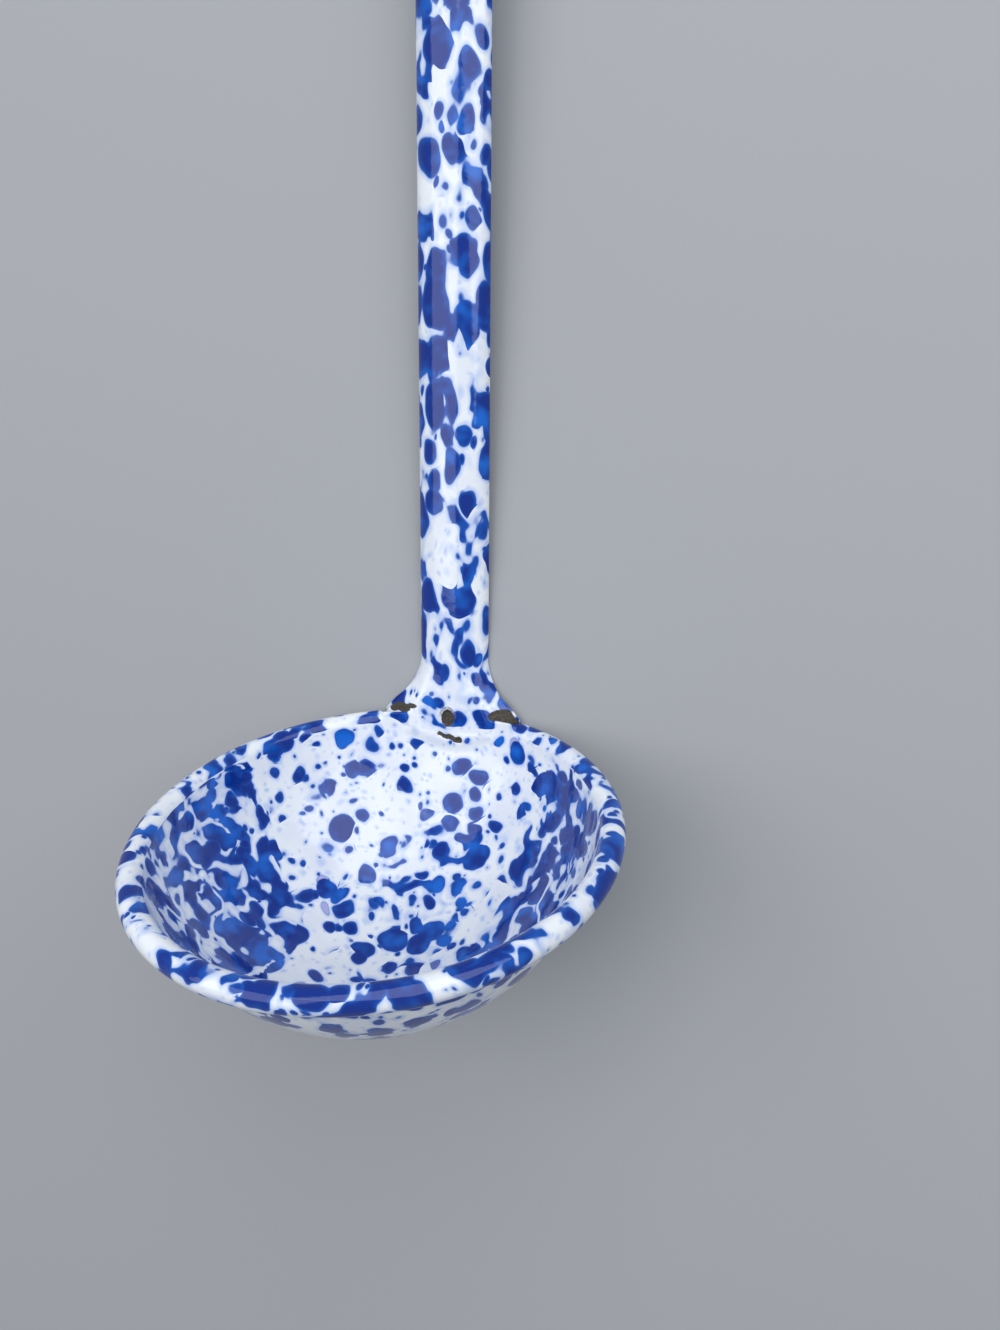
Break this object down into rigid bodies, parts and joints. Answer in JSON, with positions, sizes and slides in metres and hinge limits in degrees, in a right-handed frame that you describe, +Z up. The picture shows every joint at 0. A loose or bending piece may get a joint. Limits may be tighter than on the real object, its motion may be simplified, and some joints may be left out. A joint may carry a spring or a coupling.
{
  "type": "soup ladle",
  "caption": "Enamelled steel soup ladle: round-bottomed bowl with a rolled rim, and a channel handle welded inside the rim that ends in a hook.",
  "frame": {"origin": "on the surface that the ladle lies on, under the middle of its box", "axes": "+Z up, with the ladle lying on its back; +Y from the bowl along the handle to the hook; the plane X = 0 is the ladle's mirror plane"},
  "size_m": [0.0948, 0.3076, 0.0883],
  "materials": {
    "bowl_enamel": "glossy white vitreous enamel with cobalt blue splatter",
    "handle_enamel": "glossy white vitreous enamel with cobalt blue splatter",
    "bare_weld": "bare dark steel where the enamel missed the weld"
  },
  "bodies": {
    "root": {"bowl": "bowl_enamel", "handle": "handle_enamel", "spot_welds": "bare_weld"}
  },
  "joints": []
}
